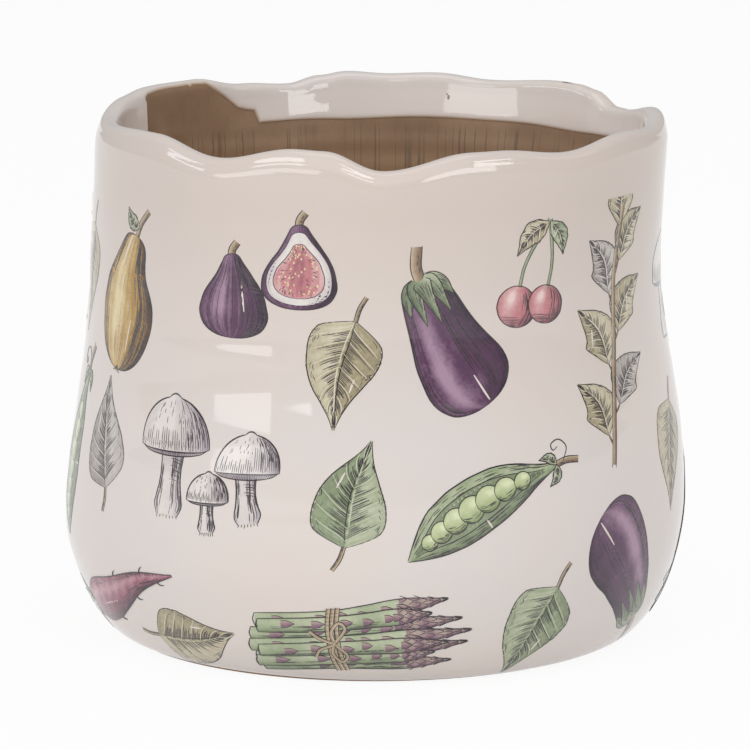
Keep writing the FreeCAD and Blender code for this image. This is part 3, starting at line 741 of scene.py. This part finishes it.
def draw_sprig(sheet):
    stem = [(-1.6, -36.4), (-0.4, -20), (0.9, 0), (0.0, 18), (0.8, 33)]
    leaves = [((-1.2, -31.0), (-13.6, -14.0), 5.6, -0.14, "olive"), ((-0.4, -23.0), (13.9, -7.0), 5.8, 0.14, "grey"),
              ((0.6, -12.0), (-13.2, 6.0), 6.0, -0.14, "olive"), ((0.9, -3.0), (13.2, 14.6), 5.7, 0.14, "olive"),
              ((0.4, 7.6), (-11.8, 23.6), 5.2, -0.14, "grey"), ((0.1, 16.0), (10.4, 31.4), 4.8, 0.14, "olive"),
              ((0.5, 24.0), (-3.6, 43.0), 5.4, -0.06, "olive")]
    for base, tip, half, bend, tint in leaves:
        middle = np.array(base) + (np.array(tip) - base) * 0.16
        stroke(sheet, [base, (np.array(base) + middle) / 2 + [0, -0.3], middle], 0.7, 0.8, "twig", count=6)
        draw_leaf(sheet, middle, tip, half, bend, tint)
    draw_twig(sheet, stem, 1.5)
    tear(sheet, [(-7.6, -4.0), (-8.0, 0.6)], 0.5)
    tear(sheet, [(7.4, 5.0), (7.0, 9.6)], 0.5)


leaf_tints = iter(("sage", "grey", "olive", "olive", "sage", "olive", "grey", "olive", "grey", "sage"))


def draw_single_leaf(sheet):
    draw_twig(sheet, [(0.1, 6.8), (0.4, 10.4), (1.5, 13.6)], 1.0)
    tint = next(leaf_tints)
    at = draw_leaf(sheet, (0.0, 7.4), (0.4, -18.8), 9.0, hand.choice((-0.06, 0.05)), tint, veins=7, heart=True,
                   deep=1.15)
    tear(sheet, [at(0.52, -0.55), at(0.66, -0.62)], 0.5)


def draw_cherry(sheet):
    for u, v, radius in ((-3.9, -11.6, 5.5), (4.4, -10.2, 5.1)):
        stalk = form([(u, v + radius * 0.7), (u * 0.9, v + radius + 6), (0.7, 11.2)], [0.45, 0.38, 0.42, 0.6])
        wash(sheet, stalk, "sage", lambda q, t: 0.45 + 0.3 * t, rows=16, columns=4)
        contour(sheet, stalk, 0.2)
        fruit = round_form((u, v), radius, 0.96)
        wash(sheet, fruit, "rose", lambda q, t: 0.48 + 0.22 * t - 0.16 * (q - 0.5) + 0.30 * np.abs(t) ** 4
             - 0.52 * glow(q, t, 0.64, 0.12, -0.36, 0.22), rows=24, columns=15)
        hatch(sheet, fruit, 34, (0.08, 0.6), (0.30, 0.96), 0.26, 0.16, (0.6, 1.0))
        cross_hatch(sheet, fruit, 10, (0.06, 0.30), (-0.9, 0.8), 0.15, (0.5, 0.9))
        stroke(sheet, fruit(0.93, np.linspace(-0.7, 0.7, 5)), 0.3, count=10)
        contour(sheet, fruit, 0.32)
    draw_leaf(sheet, (0.8, 10.4), (-6.6, 0.8), 2.9, -0.1, "olive", veins=5)
    draw_leaf(sheet, (0.9, 10.6), (7.0, 2.6), 2.4, 0.12, "sage", veins=4)


# Ceramic colours, printed and fired into the gloss: transparent washes that settle in grains and pools over the cream,
# with near-black pen lines, all under the same smooth glassy skin as the glaze.
grain_size, pool_size = 0.9, 6.0
tints = {
    "golden": ("#dfcda0", "#b18b48", "#54391f"), "purple": ("#a98aa0", "#5f3f5b", "#2c1e31"),
    "olive": ("#d6cdb6", "#a59a7d", "#625b4b"), "grey": ("#d3ccc6", "#a39b96", "#635d60"),
    "rose": ("#e6cac6", "#bf7d82", "#6f3c4a"), "pale": ("#e0d9d4", "#b9b0b2", "#776d79"),
    "green": ("#ccd1b4", "#93a07e", "#4c5a45"), "plum": ("#bfae9f", "#8c6c7a", "#513a4d"),
    "pea": ("#d9dfb8", "#a3b07f", "#596846"), "sage": ("#c3c8ad", "#8d987a", "#4b5641"),
    "twig": ("#cbb99f", "#947f67", "#584839"), "beet": ("#c79aa3", "#8b4f64", "#482539"),
    "ink": ("#9b9294", "#5b5357", "#2b2629"), "bare": ("#ded3ca", "#ded3ca", "#ded3ca"),
}
colours = []
for tint, (pale_end, middle, dark_end) in tints.items():
    colour, tree, shader = new_material("fired_ceramic_colour_" + tint, 0.06, 1.52)
    here = {"Vector": add(tree, "ShaderNodeTexCoord", {}).outputs["Object"]}
    tone = add(tree, "ShaderNodeAttribute", {"attribute_name": "tone"}).outputs["Fac"]
    grain, pool = noise(tree, here, grain_size, 2.0), noise(tree, here, pool_size, 3.0)
    both = add(tree, "ShaderNodeMath", {"operation": "MULTIPLY_ADD", 1: 0.5}, {0: grain, 2: pool})
    spread = ranged(tree, both.outputs[0], 0.35, 1.15, -0.20, 0.20)
    depth = add(tree, "ShaderNodeMath", {"operation": "ADD"}, {0: tone, 1: spread})
    printed = graded(tree, depth.outputs[0], (0.0, pale_end), (0.5, middle), (1.0, dark_end))
    tree.links.new(printed, shader.inputs["Base Color"])
    roughen(tree, shader, here, peel_size, peel_detail, peel_strength, peel_depth)
    colours.append(colour)


def along_at(height, degrees):
    """Distance along the outside wall at which it reaches a height at an angle."""
    plain = plain_height(height, degrees)
    rise = belly_rise * np.sin(np.radians(degrees))
    return along_outside(plain - rise * belly_share(plain - rise * belly_share(plain)))


def wall_normal(points):
    """Directions square to the outside wall at points near it, so that the gloss runs on over the print."""
    height = points[:, 2] / mm
    share = lip_share(height)
    degrees = np.degrees(np.arctan2(points[:, 0] - mouth_shift * share * mm, -points[:, 1]))
    along, step = along_at(height, degrees), 0.2
    up = wall_point(along + step, degrees) - wall_point(along - step, degrees)
    around = wall_point(along, degrees + step) - wall_point(along, degrees - step)
    out = np.cross(around, up)
    return out / np.linalg.norm(out, axis=1)[:, None]


def fire_on(name, patches, scale, degrees, height, tilt, upright, top=None):
    """Makes a drawing into thin closed layers on the wall, round a place given by angle and height."""
    turn = 0 if upright else math.radians(tilt)
    u, v = scale * np.concatenate([points.reshape(-1, 2) for _, points, _, _ in patches]).T
    lift = np.concatenate([np.full(points.shape[0] * points.shape[1], level) for _, points, _, level in patches])
    along = along_at(height, degrees) - u * math.sin(turn) + v * math.cos(turn)
    radius = np.interp(along, outline_along, outline[0])
    angle = degrees + np.degrees((u * math.cos(turn) + v * math.sin(turn)) / radius)
    points = np.concatenate([wall_point(along, angle, lift), wall_point(along, angle, -sunk)])
    tones = np.concatenate([tone.ravel() for _, _, tone, _ in patches])
    faces, kinds, first, under = [], [], 0, len(u)
    for tint, grid, _, _ in patches:
        index = first + np.arange(grid.shape[0] * grid.shape[1]).reshape(grid.shape[:2])
        first += index.size
        face = np.stack([index[:-1, :-1], index[:-1, 1:], index[1:, 1:], index[1:, :-1]], axis=-1).reshape(-1, 4)
        rim = np.concatenate([index[0, :-1], index[:-1, -1], index[-1, :0:-1], index[:0:-1, 0]])
        side = np.stack([rim, rim + under, np.roll(rim, -1) + under, np.roll(rim, -1)], axis=-1)
        faces += [face, face[:, ::-1] + under, side]
        kinds += [list(tints).index(tint)] * (2 * len(face) + len(side))
    mesh = bpy.data.meshes.new(name)
    mesh.from_pydata(points.tolist(), [], np.concatenate(faces).tolist())
    mesh.polygons.foreach_set("material_index", kinds)
    mesh.attributes.new("tone", "FLOAT", "POINT").data.foreach_set("value", np.tile(tones, 2).astype(np.float32))
    if top:
        cut = bmesh.new()
        cut.from_mesh(mesh)
        bmesh.ops.bisect_plane(cut, geom=cut.verts[:] + cut.edges[:] + cut.faces[:], dist=1e-9,
                               plane_co=(0, 0, top * mm), plane_no=(0, 0, 1), clear_outer=True)
        bmesh.ops.holes_fill(cut, edges=[edge for edge in cut.edges if edge.is_boundary], sides=0)
        cut.to_mesh(mesh)
        cut.free()
    places = np.empty(3 * len(mesh.vertices))
    mesh.vertices.foreach_get("co", places)
    mesh.shade_smooth()
    mesh.normals_split_custom_set_from_vertices(wall_normal(places.reshape(-1, 3)).tolist())
    piece = placed(name, mesh)
    for colour in colours:
        mesh.materials.append(colour)
    return piece


# The printed band of the wall, and each drawing with its scale
band_low, band_high = 3.2, 118.7
drawings = {
    "pear": (draw_pear, 1.04), "aubergine": (draw_aubergine, 1.05), "fig": (draw_fig, 1.15),
    "mushroom": (draw_mushroom, 1.2), "asparagus": (draw_asparagus, 1.04), "pea_pod": (draw_pea_pod, 1.08),
    "carrot": (draw_carrot, 1.0), "sprig": (draw_sprig, 1.0), "leaf": (draw_single_leaf, 1.03),
    "cherry": (draw_cherry, 1.0),
}
# Each print: drawing, side, angle round the pot, height as a share of the band, and tilt. The sprig is cut at the band.
for kind, side, degrees, share, tilt in [
    ("pear", "front", -57, 0.83, 12), ("fig", "front", -22, 0.86, 66), ("aubergine", "front", 12.5, 0.77, -28),
    ("sprig", "front", 53, 0.71, 6), ("mushroom", "front", -33, 0.45, 90), ("leaf", "front", -4, 0.36, 195),
    ("pea_pod", "front", 22, 0.38, 66), ("carrot", "front", -57, 0.13, 68), ("asparagus", "front", -2, 0.09, 84),
    ("aubergine", "right", 56, 0.14, 142), ("pea_pod", "left", -77, 0.41, 8), ("mushroom", "right", 90, 0.75, 90),
    ("carrot", "right", 92, 0.30, 32), ("fig", "right", 124, 0.13, 70), ("pear", "back", 129, 0.56, -24),
    ("sprig", "back", 164, 0.67, -10), ("asparagus", "back", 176, 0.12, 96), ("aubergine", "back", 200, 0.47, 24),
    ("fig", "left", 212, 0.83, 60), ("mushroom", "back", 231, 0.20, 90), ("leaf", "left", 234, 0.55, -30),
    ("carrot", "left", 263, 0.73, 14), ("leaf", "upper_left", -79, 0.84, 8), ("leaf", "middle", -5, 0.71, 12),
    ("leaf", "low_right", 33, 0.12, 20), ("leaf", "low_left", -42, 0.055, -100), ("leaf", "side_left", -60, 0.42, 172),
    ("leaf", "side_right", 73, 0.46, 14), ("leaf", "back_right", 113, 0.47, 14), ("leaf", "back_top", 188, 0.82, 12),
    ("cherry", "front", 33, 0.885, 10), ("cherry", "back", 125, 0.885, -12), ("cherry", "left", 239, 0.87, 8),
    ("pear", "left", 261, 0.20, -30),
]:
    sheet = {"patches": [], "lift": first_lift, "tilt": tilt}
    draw, scale = drawings[kind]
    draw(sheet)
    name, height = kind + "_" + side, band_low + (band_high - band_low) * share
    print_piece = fire_on(name + "_drawing", sheet["patches"], scale, degrees, height, tilt,
                          kind in ("fig", "mushroom"), band_high if kind == "sprig" else None)
    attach(print_piece, "root")
    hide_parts("print_" + name)

# The setting
# A plain pale paper floor, even light from all round, soft boxes in front, overhead and at the right, strips whose
# light lies along the lip and the belly, and low boxes that light the inside of the rim.
floor_gap, floor_reach, white_share = 0.1, 8, 0.93
corners = [(x * floor_reach, y * floor_reach, -floor_gap * mm) for x, y in ((-1, -1), (1, -1), (1, 1), (-1, 1))]
floor_mesh = bpy.data.meshes.new("floor")
floor_mesh.from_pydata(corners, [], [(0, 1, 2, 3)])
floor = placed("floor", floor_mesh)

# White paper, matt: seen straight or in the gloss it is almost pure white, and it keeps a little of the pot's shadow.
paper, tree, shader = new_material("white_paper", 0.9, 1.45)
shader.inputs["Base Color"].default_value = linear("#f6f6f6")
shader.inputs["Specular IOR Level"].default_value = 0.0
path = add(tree, "ShaderNodeLightPath", {})
seen = path.outputs["Is Camera Ray"]
for ray in ("Is Glossy Ray", "Is Transmission Ray"):
    seen = add(tree, "ShaderNodeMath", {"operation": "MAXIMUM"}, {0: seen, 1: path.outputs[ray]}).outputs[0]
share = add(tree, "ShaderNodeMath", {"operation": "MULTIPLY", 1: white_share}, {0: seen})
white = add(tree, "ShaderNodeEmission", {"Color": linear("#ffffff"), "Strength": 1.0})
blend = add(tree, "ShaderNodeMixShader", {}, {0: share.outputs[0], 1: shader.outputs[0], 2: white.outputs[0]})
tree.links.new(blend.outputs[0], tree.nodes["Material Output"].inputs["Surface"])
floor_mesh.materials.append(paper)

world = bpy.data.worlds.new("studio")
bpy.context.scene.world = world
world.use_nodes = True
world.node_tree.nodes["Background"].inputs["Color"].default_value = linear("#ffffff")
world.node_tree.nodes["Background"].inputs["Strength"].default_value = 0.50

# Each lamp: azimuth and elevation in degrees; distance, height aimed at, width and height in metres; watts; colour
for name, azimuth, elevation, distance, aim, size, watts, colour in [
    ("front_box", 0, 32, 1.6, 0.07, (2.00, 0.50), 2.0, "#ffffff"),
    ("top_box", 0, 80, 1.3, 0.10, (1.00, 1.00), 3.6, "#ffffff"),
    ("far_left_strip", -86, 21, 2.0, 0.12, (0.67, 0.175), 1.6, "#eef3ff"),
    ("left_strip", -43.7, 25.5, 2.0, 0.12, (0.74, 0.175), 2.0, "#ffffff"),
    ("middle_strip", -9, 28, 2.0, 0.12, (0.38, 0.175), 1.15, "#ffffff"),
    ("right_strip", 45.4, 22, 2.0, 0.12, (0.54, 0.175), 1.7, "#ffffff"),
    ("right_side_box", 84, 34, 1.6, 0.10, (0.70, 0.30), 0.8, "#ffe8d4"),
    ("left_rim_box", -46.5, 12.6, 2.0, 0.10, (1.58, 0.40), 5.9, "#ffffff"),
    ("right_rim_box", 31.75, 13.8, 2.0, 0.10, (0.942, 0.375), 4.7, "#ffffff"),
    ("left_low_box", -52.7, 5.6, 3.0, 0.07, (1.27, 0.23), 2.5, "#ffffff"),
]:
    lamp = bpy.data.lights.new(name, "AREA")
    lamp.shape, lamp.size, lamp.size_y, lamp.energy = "RECTANGLE", size[0], size[1], watts
    lamp.color = linear(colour)[:3]
    lamp_object = placed(name, lamp)
    turn, tip = math.radians(azimuth), math.radians(elevation)
    out = distance * math.cos(tip)
    lamp_object.location = (out * math.sin(turn), -out * math.cos(turn), aim + distance * math.sin(tip))
    lamp_object.rotation_euler = (math.pi / 2 - tip, 0, turn)

camera_distance, camera_height, aim_height = 1.5, 0.3480, 0.0656
camera = bpy.data.cameras.new("camera")
camera.lens, camera.sensor_width = 284.6, 36.0
camera_object = placed("camera", camera)
camera_object.location = (0, -camera_distance, camera_height)
camera_object.rotation_euler = (math.atan2(camera_distance, camera_height - aim_height), 0, 0)
bpy.context.scene.camera = camera_object
bpy.context.scene.view_settings.view_transform = "Standard"
